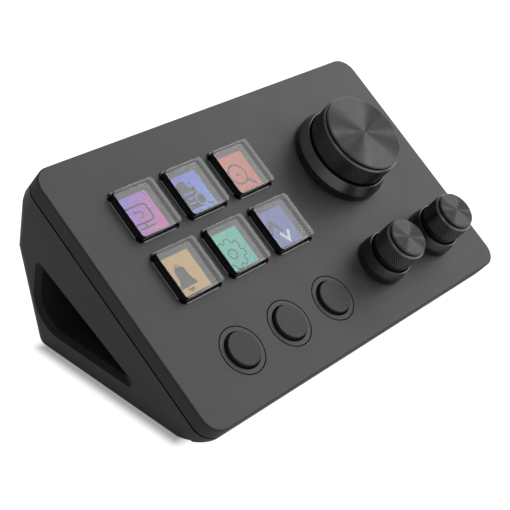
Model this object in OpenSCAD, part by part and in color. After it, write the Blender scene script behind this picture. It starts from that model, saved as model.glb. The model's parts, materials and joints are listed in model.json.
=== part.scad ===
// Desk macro keypad with knobs: a tilted front panel on a wedge stand, with six
// picture keys, three round buttons, one large dial and two small knobs.
// Millimetres, +Z up. The origin lies on the desk under the middle of the body.
// Panel coordinates are u (right), v (up the slope) and w (out of the panel).

/* [Body] */
// Width of the body across the desk
panel_w = 133; // [126:1:160]
// Length of the front panel measured up its slope
panel_h = 80; // [78:1:92]
// Tilt of the front panel from the desk
tilt = 30; // [26:1:34]
// Radius of the four corners of the panel outline
corner_r = 5.4; // [3:0.1:7]
// Rounding along the front edge of the cover
edge_r = 0.5; // [0.2:0.1:1]
// Depth of the cover's skirt behind the panel face
skirt_depth = 4.45; // [3.8:0.05:5]
// Height of the open seam between cover and rear housing
seam = 0.6; // [0.3:0.1:1]
// Depth of the lower edge of the full-width band behind the panel face
band_depth = 8.6; // [7.5:0.1:10]
// Depth of the front end face behind the panel face
end_face = 5.9; // [5.6:0.1:7]
// Step in from the band to the sides of the stand
stand_inset = 0.6; // [0.2:0.1:1]

/* [Stand] */
// Height of the front lower edge above the base
front_lift = 2.25; // [1.5:0.05:4]
// Length of the rising underside in front of the base
front_undercut = 8.6; // [6:0.1:12]
// Slant of the lower rear wall from the vertical
rear_slant = 23.6; // [15:0.2:28]
// Height of the soft bend in the rear wall above the base
rear_bend_h = 23.75; // [20:0.25:28]
// Radius between the base and the lower rear wall
heel_r = 6.75; // [4:0.25:8]
// Radius of the upright edges between the sides and the rear wall
rear_edge_r = 3.3; // [1:0.1:4]
// Thickness of the base under the tunnel
tunnel_floor = 4.55; // [4:0.05:6]
// Depth of the tunnel's upper tip behind the panel face
tunnel_depth = 18.22; // [18:0.02:20]
// Distance from the rear wall to the rear edge of the tunnel
tunnel_rear_gap = 8.4; // [7.5:0.1:10]
// Slope of the tunnel's roof
tunnel_slope = 24.7; // [23:0.1:26]
// Radius of the tunnel's lower rear curve
tunnel_heel_r = 10.5; // [7:0.25:11]
// Radius of the tunnel's two pointed tips
tunnel_tip_r = 1.3; // [1:0.1:1.8]
// Width of the chamfer round each mouth of the tunnel
lip = 0.8; // [0.4:0.1:1.2]
// Depth of that chamfer from the side face
lip_depth = 2; // [1:0.1:3]

/* [Walls] */
// Thickness of the cover plate
plate_t = 1.8; // [1.6:0.1:2]
// Thickness of the cover's skirt
skirt_t = 1.4; // [1.2:0.1:1.6]
// Thickness of the housing's tongue inside the skirt
tongue_t = 1.1; // [0.9:0.1:1.3]
// Clearance between pieces that fit into each other
fit_gap = 0.1; // [0.05:0.05:0.2]
// Thickness of the wall over the tunnel
roof_t = 1.8; // [1.4:0.1:2]
// Thickness of the other housing walls
wall_t = 2.2; // [1.8:0.1:2.6]

/* [Keys] */
// Side of a square clear key cap
key_size = 14.6; // [12:0.1:15]
// Distance between the centres of neighbouring keys
key_pitch = 19.2; // [18.6:0.1:20]
// Distance of the first key column from the left edge of the panel
key_left = 23.85; // [20:0.05:26]
// Distance of the upper key row from the upper edge of the panel
key_top = 20.85; // [18:0.05:22]
// Height of the key caps above the panel
key_proud = 2.35; // [1.5:0.05:3]
// Corner radius of the key caps
key_corner_r = 1.1; // [0.6:0.1:2]
// Thickness of the clear key cap
key_cap_t = 2.45; // [2.2:0.05:2.6]
// Thickness of the carrier's wall round a screen
key_wall = 0.8; // [0.6:0.05:1]
// Open space between a screen and its cap
screen_gap = 1.3; // [1:0.05:1.5]
// Margin of the panel opening round a cap
key_margin = 0.7; // [0.5:0.05:0.9]
// Clearance between a key and the ledge of the key frame
key_gap = 0.25; // [0.2:0.05:0.3]
// Depth of the ledge behind the panel face
ledge_depth = 0.95; // [0.8:0.05:1.1]
// Thickness of the key frame's ledge
ledge_t = 0.5; // [0.4:0.05:0.6]
// Thickness of a picture screen under its cap
screen_t = 0.8; // [0.6:0.05:1]
// Travel of a key
key_travel = 1; // [0.6:0.05:1.1]

/* [Buttons] */
// Radius of a round button
button_r = 4.95; // [4:0.05:5.2]
// Gap round a button in its ring
button_gap = 0.5; // [0.3:0.05:0.6]
// Outer radius of the flush ring round a button
ring_r = 6.85; // [6.4:0.05:7.4]
// Height of the buttons above the panel
button_proud = 1.15; // [0.9:0.05:1.6]
// Distance of the button row from the lower edge of the panel
button_low = 14.9; // [14:0.05:17]
// Rounding of a button's upper edge
button_edge_r = 0.35; // [0.2:0.05:0.5]
// Travel of a button
button_travel = 0.8; // [0.5:0.05:0.9]

/* [Large dial] */
// Distance of the large dial from the right edge of the panel
dial_right = 33.3; // [30:0.1:36]
// Distance of the large dial from the upper edge of the panel
dial_top = 29.7; // [26:0.1:31]
// Outer radius of the dial's collar
dial_collar_r = 15; // [14.4:0.1:16]
// Height of the straight part of the dial's collar
dial_collar_step = 2.5; // [1.5:0.1:3]
// Full height of the dial's collar
dial_collar_h = 5.6; // [4.8:0.1:6]
// Radius of the dial's knurled grip
dial_r = 13.2; // [12:0.1:13.6]
// Height above the panel at which the dial's knurl starts
dial_knurl_h = 6.5; // [6.2:0.1:8]
// Radius of the dial's top disc
dial_cap_r = 12.65; // [11.5:0.05:12.9]

/* [Small knobs] */
// Distance of the right-hand small knob from the right edge of the panel
knob_right = 20.5; // [18:0.1:22]
// Distance between the two small knobs
knob_pitch = 25.2; // [22:0.1:27]
// Distance of the small knobs from the lower edge of the panel
knob_low = 17.1; // [16:0.1:19]
// Outer radius of a small knob's collar
knob_collar_r = 7.6; // [7.4:0.1:8.4]
// Height of the straight part of a small knob's collar
knob_collar_step = 2.2; // [1.5:0.1:3]
// Full height of a small knob's collar
knob_collar_h = 5.3; // [4.8:0.1:6]
// Radius of a small knob's knurled grip
knob_r = 6.5; // [6.2:0.05:6.8]
// Height above the panel at which a small knob's knurl starts
knob_knurl_h = 7.1; // [6.2:0.1:8]
// Radius of a small knob's top disc
knob_cap_r = 5.8; // [5.2:0.05:6]

/* [Dial and knobs] */
// Height of the top discs above the panel
knob_top_h = 14.1; // [12:0.1:16]
// Thickness of the top discs
knob_cap_t = 0.75; // [0.6:0.05:1]
// Rounding of a top disc's edge
disc_edge_r = 0.5; // [0.1:0.05:0.5]
// Height of the dark groove under a top disc
groove_h = 0.45; // [0.3:0.05:0.7]
// Pitch of the straight knurl round a grip
knurl_pitch = 0.95; // [0.8:0.05:1.4]
// Depth of the knurl
knurl_depth = 0.22; // [0.1:0.02:0.3]
// Bevel round the top of a grip
rim_bevel = 0.5; // [0.3:0.05:0.8]
// Gap between a grip and its collar
collar_gap = 0.25; // [0.2:0.05:0.4]
// Push travel of the dial and knobs
push_travel = 0.5; // [0.3:0.05:0.6]
// Radius of the encoder shafts
shaft_r = 3; // [2.5:0.05:3.1]
// Running clearance between a shaft and its bushing
shaft_gap = 0.05; // [0.02:0.01:0.1]
// Radius of the encoder bushings
bushing_r = 3.5; // [3.3:0.05:3.7]
// Height of the bushings above the panel
bushing_h = 4; // [3.5:0.1:4.2]
// Thickness of the nuts on the bushings
nut_t = 2; // [1.6:0.1:2.2]
// Radius of the nuts across their corners
nut_r = 5.7; // [5.2:0.1:5.8]

/* [Inside] */
// Depth of the main board's face behind the panel face
board_depth = 8.4; // [8:0.1:8.6]
// Thickness of the circuit boards
board_t = 1.2; // [0.8:0.1:1.3]
// Height of the board screws' heads
screw_head_t = 1.1; // [0.8:0.1:1.2]
// Radius of the board screws' shanks
screw_r = 0.95; // [0.8:0.05:1.1]
// Side of a push switch body
switch_size = 6.2; // [5:0.1:7]
// Radius of the stems in the push switches
stem_r = 1.7; // [1.2:0.05:2]
// Width of the USB socket's shell
usb_w = 8.94; // [8.5:0.02:9.2]
// Height of the USB socket's shell
usb_h = 3.26; // [3:0.02:3.5]
// Height of the main board's upper edge above the USB socket's centre
usb_drop = 5.15; // [4.8:0.05:5.4]

/* [Feet] */
// Radius of a rubber foot
foot_r = 5; // [4:0.1:6]
// Height of the feet below the base
foot_proud = 0.6; // [0.4:0.05:1]
// Depth of the feet's recesses in the base
foot_recess = 1; // [0.6:0.1:1.2]

/* [Hidden] */
$fn = 64;
eps = 0.01;
far = 200;

// Panel point (v, w) as a point (y, z) measured from the panel's centre
function on(v, w) = [v * cos(tilt) - w * sin(tilt), v * sin(tilt) + w * cos(tilt)];
function dir(a) = [cos(a), sin(a)];
function left_of(a) = [-sin(a), cos(a)];
function cross2(p, q) = p[0] * q[1] - p[1] * q[0];
// Where the line through p at angle a meets the line through q at angle b
function meet(p, a, q, b) = p + dir(a) * cross2(q - p, dir(b)) / cross2(dir(a), dir(b));

// Side profile of the body, (y, z) from the panel's centre
front_low = on(-panel_h / 2, -end_face);
base_z = front_low[1] - front_lift;
rear_y = on(panel_h / 2, -band_depth)[0];
front_y = -(panel_h / 2 - edge_r) * cos(tilt) + edge_r * sin(tilt) - edge_r;
base_front = [front_low[0] + front_undercut, base_z];
under_a = -atan2(front_lift, front_undercut);
rear_bend = [rear_y, base_z + rear_bend_h];
heel = meet(rear_bend, 90 - rear_slant, base_front, 0);
// Centre of the panel face in the world
panel_y = -(front_y + rear_y) / 2;
panel_z = foot_proud - base_z;

// Tunnel profile, (y, z) from the panel's centre
tunnel_z = base_z + tunnel_floor;
tunnel_y = rear_y - tunnel_rear_gap;
tunnel_tip = [tunnel_y, (tunnel_y * sin(tilt) - tunnel_depth) / cos(tilt)];
tunnel_nose = meet(tunnel_tip, tunnel_slope, [tunnel_y, tunnel_z], 0);
tunnel_heel = [tunnel_y, tunnel_z];

// Inside of the housing
wall_in = skirt_t + fit_gap + tongue_t;
rim_depth = skirt_depth + seam;
roof_p = tunnel_tip + left_of(tunnel_slope) * roof_t;
under_p = front_low + left_of(under_a) * wall_t;
cavity_front = meet(under_p, under_a, roof_p, tunnel_slope);
cavity_rear = meet(roof_p, tunnel_slope, [rear_y - wall_t, 0], 90);

// Centres on the panel
key_us = [for (i = [0:2]) -panel_w / 2 + key_left + i * key_pitch];
key_vs = [panel_h / 2 - key_top, panel_h / 2 - key_top - key_pitch];
key_spots = [for (v = key_vs) for (u = key_us) [u, v]];
button_spots = [for (u = key_us) [u, -panel_h / 2 + button_low]];
dial_spot = [panel_w / 2 - dial_right, panel_h / 2 - dial_top];
right_spot = [panel_w / 2 - knob_right, -panel_h / 2 + knob_low];
left_spot = right_spot - [knob_pitch, 0];
encoder_spots = [dial_spot, left_spot, right_spot];

// Levels below the panel face in the key stack
cap_low_w = key_proud - key_cap_t;
screen_top_w = cap_low_w - screen_gap;
screen_low_w = screen_top_w - screen_t;
screen_size = key_size - 2 * (key_wall + fit_gap);
ledge_top_w = -ledge_depth;
ledge_low_w = ledge_top_w - ledge_t;
flange_top_w = ledge_low_w - 0.2;
carrier_floor_t = 0.8;
carrier_low_w = min(screen_low_w, flange_top_w) - carrier_floor_t;
flange_size = key_size + 1.8;
pocket_size = flange_size + 0.6;
frame_wall = 1.2;
frame_w = 2 * key_pitch + pocket_size + 2 * frame_wall;
frame_h = key_pitch + pocket_size + 2 * frame_wall;
frame_mid = [key_us[1], (key_vs[0] + key_vs[1]) / 2];

// Push switches on the main board
switch_top_w = -board_depth + 3.4;
stem_low_w = switch_top_w - 0.9;
stem_gap = 0.1;
switch_bore_depth = 0.9 + max(key_travel, button_travel) + 0.5;

// Buttons
ring_flange_t = 0.8;
ring_flange_r = ring_r + 1;
button_flange_top = -plate_t - ring_flange_t - 0.3;
button_flange_t = 0.8;
button_flange_r = ring_r - 0.3;

// Encoders
encoder_w = 12.4;
encoder_top_w = -plate_t - fit_gap;
encoder_low_w = -board_depth;
encoder_chamber_r = 4.1;
encoder_chamber_top = encoder_top_w - 1.5;
encoder_chamber_low = encoder_low_w + 0.4;
plunger_t = 0.8;
plunger_r = encoder_chamber_r - 0.3;
plunger_low_w = encoder_chamber_low + push_travel + 0.2;
shaft_low_w = plunger_low_w + plunger_t + 0.1;
shaft_top_h = knob_top_h - knob_cap_t - groove_h - 1.2;
grip_low_h = nut_t + push_travel + 0.3;
grip_top_h = knob_top_h - knob_cap_t - groove_h;
socket_low_h = bushing_h + push_travel + 0.3;

// Board and its screws
board_w = panel_w - 2 * wall_in - 3.8;
board_low_v = -panel_h / 2 + 9;
board_high_v = panel_h / 2 - 5;
boss_r = 2.6;
boss_u = panel_w / 2 - wall_in - 5.9;
boss_spots = [[-boss_u, -panel_h / 2 + 13], [boss_u, -panel_h / 2 + 10.2 + boss_r],
    [-boss_u, panel_h / 2 - 9], [boss_u, panel_h / 2 - 9],
    [(frame_mid[0] + frame_w / 2 + dial_spot[0] - encoder_w / 2) / 2, panel_h / 2 - 9],
    [(button_spots[2][0] + left_spot[0]) / 2, button_spots[0][1]]];
screw_len = 4.5;

// USB socket in the rear wall
usb_z = on(board_high_v, -board_depth - board_t)[1] - usb_drop;
usb_face_y = rear_y - 0.7;
usb_len = 7.8;
usb_board_size = [16, 12];
usb_board_top = usb_z - usb_h / 2;

// Feet on the flat of the base
foot_x = panel_w / 2 - 14;
foot_ys = [base_front[0] + foot_r + 2.5, heel[0] - heel_r * tan(45 - rear_slant / 2) - foot_r - 2.5];
foot_spots = [for (x = [-foot_x, foot_x]) for (y = foot_ys) [x, y]];

// Snap hooks that hold the cover to the housing: [u, v, turn], the nose looking outwards
hook_w = 8;
hook_t = 1.2;
hook_depth = 7;
hook_nose = 0.5;
hook_spots = concat(
    [for (u = [-1, 0, 1]) [u * panel_w / 3.2, panel_h / 2 - wall_in, 0]],
    [for (s = [-1, 1]) for (v = [-0.15, 0.25]) [s * (panel_w / 2 - wall_in), v * panel_h, -90 * s]]);

// Frame of the panel: u, v, w as x, y, z
module on_panel(p = [0, 0]) {
    translate([0, panel_y, panel_z]) rotate([tilt, 0, 0]) translate([p[0], p[1], 0]) children();
}

// Side profile (y, z) drawn from the panel's centre, carried across the width
module across(width) {
    translate([-width / 2, panel_y, panel_z]) rotate([90, 0, 90]) linear_extrude(width) children();
}

module rounded_square(w, h, r) {
    square([w - 2 * r, h], center = true);
    square([w, h - 2 * r], center = true);
    for (x = [-1, 1]) for (y = [-1, 1])
        translate([x * (w / 2 - r), y * (h / 2 - r)]) circle(r);
}

// Turned disc between two levels of w, its upper edge rounded by e
module soft_disc(r, low, high, e) {
    rotate_extrude() {
        translate([0, low]) square([r, high - low - e]);
        translate([0, low]) square([r - e, high - low]);
        translate([r - e, high - e]) intersection() {
            circle(e, $fn = 32);
            square(e);
        }
    }
}

// Upright plate between two levels of w
module plate(w, h, r, low, high) {
    translate([0, 0, low]) linear_extrude(high - low) rounded_square(w, h, r);
}

// Plate whose upper edge is rounded by e
module soft_plate(w, h, r, low, high, e) {
    plate(w, h, r, low, high - e);
    plate(w - 2 * e, h - 2 * e, r - e, low, high);
    for (x = [-1, 1]) translate([x * (w / 2 - e), 0, high - e]) rotate([90, 0, 0])
        cylinder(r = e, h = h - 2 * r, center = true, $fn = 32);
    for (y = [-1, 1]) translate([0, y * (h / 2 - e), high - e]) rotate([0, 90, 0])
        cylinder(r = e, h = w - 2 * r, center = true, $fn = 32);
    for (x = [-1, 1]) for (y = [-1, 1])
        translate([x * (w / 2 - r), y * (h / 2 - r), high - e])
            rotate_extrude() translate([r - e, 0]) circle(e, $fn = 32);
}

// Convex outline with round corners: p is the points, r one radius each
function in_a(p, i) = let(n = len(p), a = p[(i + n - 1) % n] - p[i], b = p[(i + 1) % n] - p[i])
    acos((a * b) / (norm(a) * norm(b))) / 2;
function toward(p, i, j, d) = let(a = p[j] - p[i]) p[i] + a / norm(a) * d;
module rounded_outline(p, r, fine = 96) {
    n = len(p);
    polygon([for (i = [0:n - 1]) for (k = [0, 1])
        if (r[i] > 0 || k == 0)
            r[i] > 0 ? toward(p, i, (i + (k == 0 ? n - 1 : 1)) % n, r[i] / tan(in_a(p, i))) : p[i]]);
    for (i = [0:n - 1]) if (r[i] > 0) {
        t = r[i] / tan(in_a(p, i));
        a = toward(p, i, (i + n - 1) % n, t);
        b = toward(p, i, (i + 1) % n, t);
        mid = (a + b) / 2;
        centre = p[i] + (mid - p[i]) / norm(mid - p[i]) * r[i] / sin(in_a(p, i));
        intersection() {
            translate(centre) circle(r[i], $fn = fine);
            polygon([a, p[i], b, (3 * mid + centre) / 4]);
        }
    }
}

module body_profile() {
    rounded_outline([on(panel_h / 2, 5), on(-panel_h / 2, 5), front_low, base_front, heel,
        rear_bend, on(panel_h / 2, -band_depth)], [0, 0, 0, 0, heel_r, 12, 0]);
}

// Tunnel outline drawn in by d all round
module tunnel_profile(d, fine = 96) {
    a = tunnel_tip + left_of(tunnel_slope) * -d;
    tip = meet(a, tunnel_slope, [tunnel_y - d, 0], 90);
    nose = meet(a, tunnel_slope, [0, tunnel_z + d], 0);
    rounded_outline([tip, nose, [tunnel_y - d, tunnel_z + d]],
        [tunnel_tip_r, tunnel_tip_r, tunnel_heel_r - d], fine);
}

module front_cover() {
    color("#26282b") on_panel() {
        difference() {
            union() {
                difference() {
                    soft_plate(panel_w, panel_h, corner_r, -skirt_depth, 0, edge_r);
                    plate(panel_w - 2 * skirt_t, panel_h - 2 * skirt_t, corner_r - skirt_t,
                        -skirt_depth - 1, -plate_t);
                }
                for (p = boss_spots) translate([p[0], p[1], -board_depth])
                    cylinder(r = boss_r, h = board_depth - plate_t + eps);
                for (p = hook_spots) translate([p[0], p[1], 0]) rotate([0, 0, p[2]]) cover_hook();
            }
            for (p = key_spots) translate([p[0], p[1], 0])
                plate(key_size + 2 * key_margin, key_size + 2 * key_margin, key_corner_r + key_margin,
                    -far, 1);
            translate([frame_mid[0], frame_mid[1], ledge_top_w - 5])
                linear_extrude(5) square([frame_w + 2 * fit_gap, frame_h + 2 * fit_gap], center = true);
            for (p = button_spots) translate([p[0], p[1], -far / 2]) cylinder(r = ring_r + fit_gap, h = far);
            for (p = encoder_spots) translate([p[0], p[1], -far / 2])
                cylinder(r = bushing_r + fit_gap, h = far);
            for (p = boss_spots) translate([p[0], p[1], -board_depth - 1])
                cylinder(r = screw_r + 0.05, h = screw_len + 1.5);
        }
    }
}

// Snap hook under the plate, its back fit_gap inside the housing wall at y = 0
module cover_hook() {
    translate([-hook_w / 2, -fit_gap - hook_t, -hook_depth]) {
        cube([hook_w, hook_t, hook_depth - plate_t + eps]);
        translate([0, hook_t - eps, 0]) cube([hook_w, hook_nose + eps, 0.8]);
    }
}

module housing_shell() {
    // band behind the seam, as wide as the cover
    intersection() {
        on_panel() plate(panel_w, panel_h, corner_r, -band_depth, -rim_depth);
        across(panel_w) body_profile();
    }
    // stand, stepped in from the band and rounded along its rear edges
    w = panel_w - 2 * stand_inset;
    intersection() {
        on_panel() plate(w, panel_h, corner_r, -far / 2, -rim_depth);
        across(w) body_profile();
        translate([0, panel_y + rear_y - panel_h, -1]) plate(w, 2 * panel_h, rear_edge_r, 0, far);
        translate([0, panel_y + rear_bend[0], panel_z + rear_bend[1]]) rotate([-rear_slant, 0, 0])
            translate([0, -panel_h, 0]) plate(w, 2 * panel_h, rear_edge_r, -far, far);
    }
    // tongue inside the cover's skirt
    on_panel() plate(panel_w - 2 * (skirt_t + fit_gap), panel_h - 2 * (skirt_t + fit_gap),
        corner_r - skirt_t - fit_gap, -rim_depth - eps, -plate_t);
}

module housing_cavity() {
    intersection() {
        on_panel() plate(panel_w - 2 * wall_in, panel_h - 2 * wall_in, corner_r - wall_in, -far / 2, 5);
        across(panel_w - 2 * wall_in) polygon([on(-panel_h / 2 - 20, 20),
            meet(under_p, under_a, on(-panel_h / 2 - 20, 0), 90 + tilt), cavity_front,
            cavity_rear, [rear_y - wall_t, panel_h]]);
    }
}

module rear_housing() {
    color("#1e2022") difference() {
        union() {
            difference() {
                housing_shell();
                housing_cavity();
            }
            // shelf for the USB board
            intersection() {
                translate([-usb_board_size[0] / 2, panel_y + rear_y - wall_t - usb_board_size[1],
                    panel_z + cavity_front[1]])
                    cube([usb_board_size[0], usb_board_size[1] + 1,
                        usb_board_top - board_t - cavity_front[1]]);
                across(30) body_profile();
            }
        }
        // tunnel with its chamfered mouths
        across(panel_w + 2) tunnel_profile(lip);
        for (s = [-1, 1]) hull() for (d = [-1, lip_depth + 0.9])
            translate([s * (panel_w / 2 - stand_inset - d), 0, 0]) across(0.02)
                tunnel_profile(d * lip / lip_depth, 32);
        // seat of the USB board
        translate([-usb_board_size[0] / 2 - fit_gap, panel_y + rear_y - wall_t - usb_board_size[1] - 1,
            panel_z + usb_board_top - board_t])
            cube([usb_board_size[0] + 2 * fit_gap, usb_board_size[1] + 1, usb_h + board_t]);
        // socket opening in the rear wall
        translate([0, panel_y + rear_y - wall_t - 1, panel_z + usb_z]) rotate([-90, 0, 0])
            linear_extrude(wall_t + 2)
                rounded_square(usb_w + 0.3, usb_h + 0.3, (usb_h + 0.3) / 2 - eps, $fn = 32);
        // recesses for the feet
        for (p = foot_spots) translate([p[0], panel_y + p[1], -1])
            cylinder(r = foot_r + fit_gap, h = foot_proud + foot_recess + 1);
        // catches for the snap hooks
        on_panel() for (p = hook_spots) translate([p[0], p[1], -hook_depth - 0.3]) rotate([0, 0, p[2]])
            translate([-hook_w / 2 - 0.3, -eps, 0]) cube([hook_w + 0.6, hook_nose + 0.2, 1.4]);
    }
}

module rubber_feet() {
    color("#151515") for (p = foot_spots) translate([p[0], panel_y + p[1], 0])
        rotate_extrude() polygon([[0, 0], [foot_r - 0.3, 0], [foot_r, 0.3],
            [foot_r, foot_proud + foot_recess], [0, foot_proud + foot_recess]]);
}

module key_frame() {
    color("#1a1b1d") on_panel() difference() {
        translate([frame_mid[0], frame_mid[1], carrier_low_w]) linear_extrude(ledge_top_w - carrier_low_w)
            square([frame_w, frame_h], center = true);
        for (p = key_spots) translate([p[0], p[1], 0]) {
            plate(key_size + 2 * key_gap, key_size + 2 * key_gap, key_corner_r + key_gap, -far, far);
            plate(pocket_size, pocket_size, key_corner_r, -far, ledge_low_w);
        }
    }
}

module key_cap(i) {
    color("#c9ccd0", 0.5) on_panel(key_spots[i])
        plate(key_size, key_size, key_corner_r, cap_low_w, key_proud);
}

module key_screen(i) {
    color("#6f86c8") on_panel(key_spots[i])
        plate(screen_size, screen_size, key_corner_r / 2, screen_low_w, screen_top_w);
}

module key_carrier(i) {
    color("#141516") on_panel(key_spots[i]) {
        difference() {
            union() {
                plate(flange_size, flange_size, key_corner_r, carrier_low_w, flange_top_w);
                plate(key_size, key_size, key_corner_r, carrier_low_w, cap_low_w);
            }
            plate(key_size - 2 * key_wall, key_size - 2 * key_wall, key_corner_r / 2, screen_low_w, 1);
        }
        translate([0, 0, stem_low_w]) cylinder(r = stem_r, h = carrier_low_w - stem_low_w + eps);
    }
}

module push_switches() {
    color("#3a3c40") for (p = concat(key_spots, button_spots)) on_panel(p) difference() {
        translate([0, 0, -board_depth]) linear_extrude(board_depth + switch_top_w)
            square(switch_size, center = true);
        translate([0, 0, switch_top_w - switch_bore_depth])
            cylinder(r = stem_r + stem_gap, h = switch_bore_depth + 1);
    }
}

module button_rings() {
    color("#232528") for (p = button_spots) on_panel(p) difference() {
        union() {
            translate([0, 0, -plate_t]) cylinder(r = ring_r, h = plate_t);
            translate([0, 0, -plate_t - ring_flange_t]) cylinder(r = ring_flange_r, h = ring_flange_t);
        }
        translate([0, 0, -far / 2]) cylinder(r = button_r + button_gap, h = far);
    }
}

module button(i) {
    color("#1b1c1e") on_panel(button_spots[i]) {
        soft_disc(button_r, button_flange_top - eps, button_proud, button_edge_r);
        translate([0, 0, button_flange_top - button_flange_t])
            cylinder(r = button_flange_r, h = button_flange_t);
        translate([0, 0, stem_low_w])
            cylinder(r = stem_r, h = button_flange_top - button_flange_t - stem_low_w + eps);
    }
}

// Bevelled collar that stands on the panel round a grip of radius g
module collar(p, r, step, h, g) {
    color("#2b2d30") on_panel(p) rotate_extrude() polygon([[g + collar_gap, 0], [r, 0], [r, step],
        [g + collar_gap + 0.3, h], [g + collar_gap, h]]);
}

module dial_collar() {
    collar(dial_spot, dial_collar_r, dial_collar_step, dial_collar_h, dial_r);
}

module knob_collars() {
    for (p = [left_spot, right_spot])
        collar(p, knob_collar_r, knob_collar_step, knob_collar_h, knob_r);
}

module encoder_bodies() {
    color("#8d9094") for (p = encoder_spots) on_panel(p) difference() {
        union() {
            translate([0, 0, encoder_low_w]) linear_extrude(encoder_top_w - encoder_low_w)
                square([encoder_w, encoder_w], center = true);
            translate([0, 0, encoder_top_w - eps]) cylinder(r = bushing_r, h = bushing_h - encoder_top_w);
        }
        translate([0, 0, encoder_chamber_low])
            cylinder(r = encoder_chamber_r, h = encoder_chamber_top - encoder_chamber_low);
        translate([0, 0, encoder_chamber_low]) cylinder(r = shaft_r + shaft_gap, h = far);
    }
}

module encoder_nuts() {
    color("#a9acb0") for (p = encoder_spots) on_panel(p) difference() {
        cylinder(r = nut_r, h = nut_t, $fn = 6);
        translate([0, 0, -nut_t]) cylinder(r = bushing_r + 0.05, h = 3 * nut_t);
    }
}

module plunger(p) {
    color("#d8d8d2") on_panel(p) translate([0, 0, plunger_low_w]) cylinder(r = plunger_r, h = plunger_t);
}

module shaft(p) {
    color("#b9bcc0") on_panel(p) translate([0, 0, shaft_low_w])
        cylinder(r = shaft_r, h = shaft_top_h - shaft_low_w);
}

// Knurled ring of points: n teeth with flat crests of radius r
function knurl(n, r, d) = [for (i = [0:n - 1]) for (k = [[0, d], [0.22, 0], [0.58, 0], [0.8, d]])
    (r - k[1]) * [cos(360 * (i + k[0]) / n), sin(360 * (i + k[0]) / n)]];

// Grip: smooth foot, knurl with a chamfered rim, turned neck and a socket for the shaft
module grip(p, r, cap_r, knurl_h) {
    color("#17181a") on_panel(p) difference() {
        union() {
            translate([0, 0, grip_low_h]) cylinder(r = r - knurl_depth, h = knurl_h - grip_low_h + eps);
            intersection() {
                translate([0, 0, knurl_h]) linear_extrude(grip_top_h - knurl_h)
                    polygon(knurl(round(2 * PI * r / knurl_pitch), r, knurl_depth));
                rotate_extrude() polygon([[0, knurl_h], [r + 1, knurl_h],
                    [r + 1, grip_top_h - rim_bevel - 1], [r - rim_bevel, grip_top_h], [0, grip_top_h]]);
            }
            translate([0, 0, grip_top_h - eps]) cylinder(r = cap_r - 0.45, h = groove_h + eps);
        }
        translate([0, 0, grip_low_h - 1]) cylinder(r = bushing_r + 0.4, h = socket_low_h - grip_low_h + 1);
        translate([0, 0, socket_low_h - eps])
            cylinder(r = shaft_r + 0.02, h = shaft_top_h + 0.1 - socket_low_h);
    }
}

// Turned disc on top of a grip
module top_disc(p, r) {
    color("#2a2c2f") on_panel(p) soft_disc(r, knob_top_h - knob_cap_t, knob_top_h, disc_edge_r);
}

module main_board() {
    color("#1f5a3a") on_panel() translate([0, 0, -board_depth - board_t]) difference() {
        linear_extrude(board_t) translate([-board_w / 2, board_low_v])
            square([board_w, board_high_v - board_low_v]);
        for (p = boss_spots) translate([p[0], p[1], -1]) cylinder(r = screw_r + 0.25, h = board_t + 2);
    }
}

module board_screws() {
    color("#8f9296") for (p = boss_spots) on_panel(p) translate([0, 0, -board_depth - board_t]) {
        translate([0, 0, -screw_head_t]) cylinder(r = screw_r * 2, h = screw_head_t);
        translate([0, 0, -eps]) cylinder(r = screw_r, h = board_t + screw_len);
    }
}

module usb_board() {
    color("#1f5a3a") translate([-usb_board_size[0] / 2, panel_y + rear_y - wall_t - usb_board_size[1],
        panel_z + usb_board_top - board_t])
        cube([usb_board_size[0], usb_board_size[1] - fit_gap, board_t]);
}

// Oval metal shell, open to the rear, with its contact tongue
module usb_socket() {
    color("#b4b7bb") translate([0, panel_y + usb_face_y - usb_len, panel_z + usb_z]) rotate([-90, 0, 0]) {
        difference() {
            linear_extrude(usb_len) rounded_square(usb_w, usb_h, usb_h / 2 - eps, $fn = 32);
            translate([0, 0, 1.2]) linear_extrude(usb_len)
                rounded_square(usb_w - 0.6, usb_h - 0.6, usb_h / 2 - 0.3 - eps, $fn = 32);
        }
        translate([-3.3, -0.35, 1]) cube([6.6, 0.7, usb_len - 2]);
    }
}

front_cover();
rear_housing();
rubber_feet();
key_frame();
key_cap(0);  // key_cap_1
key_cap(1);  // key_cap_2
key_cap(2);  // key_cap_3
key_cap(3);  // key_cap_4
key_cap(4);  // key_cap_5
key_cap(5);  // key_cap_6
key_screen(0);  // key_screen_1
key_screen(1);  // key_screen_2
key_screen(2);  // key_screen_3
key_screen(3);  // key_screen_4
key_screen(4);  // key_screen_5
key_screen(5);  // key_screen_6
key_carrier(0);  // key_carrier_1
key_carrier(1);  // key_carrier_2
key_carrier(2);  // key_carrier_3
key_carrier(3);  // key_carrier_4
key_carrier(4);  // key_carrier_5
key_carrier(5);  // key_carrier_6
push_switches();
button_rings();
button(0);  // button_1
button(1);  // button_2
button(2);  // button_3
dial_collar();
knob_collars();
encoder_bodies();
encoder_nuts();
plunger(dial_spot);  // dial_plunger
plunger(left_spot);  // left_knob_plunger
plunger(right_spot);  // right_knob_plunger
shaft(dial_spot);  // dial_shaft
shaft(left_spot);  // left_knob_shaft
shaft(right_spot);  // right_knob_shaft
grip(dial_spot, dial_r, dial_cap_r, dial_knurl_h);  // dial_grip
grip(left_spot, knob_r, knob_cap_r, knob_knurl_h);  // left_knob_grip
grip(right_spot, knob_r, knob_cap_r, knob_knurl_h);  // right_knob_grip
top_disc(dial_spot, dial_cap_r);  // dial_cap
top_disc(left_spot, knob_cap_r);  // left_knob_cap
top_disc(right_spot, knob_cap_r);  // right_knob_cap
main_board();
board_screws();
usb_board();
usb_socket();
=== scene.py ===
import json
import math

import bmesh
import bpy
from mathutils import Matrix, Vector


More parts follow.
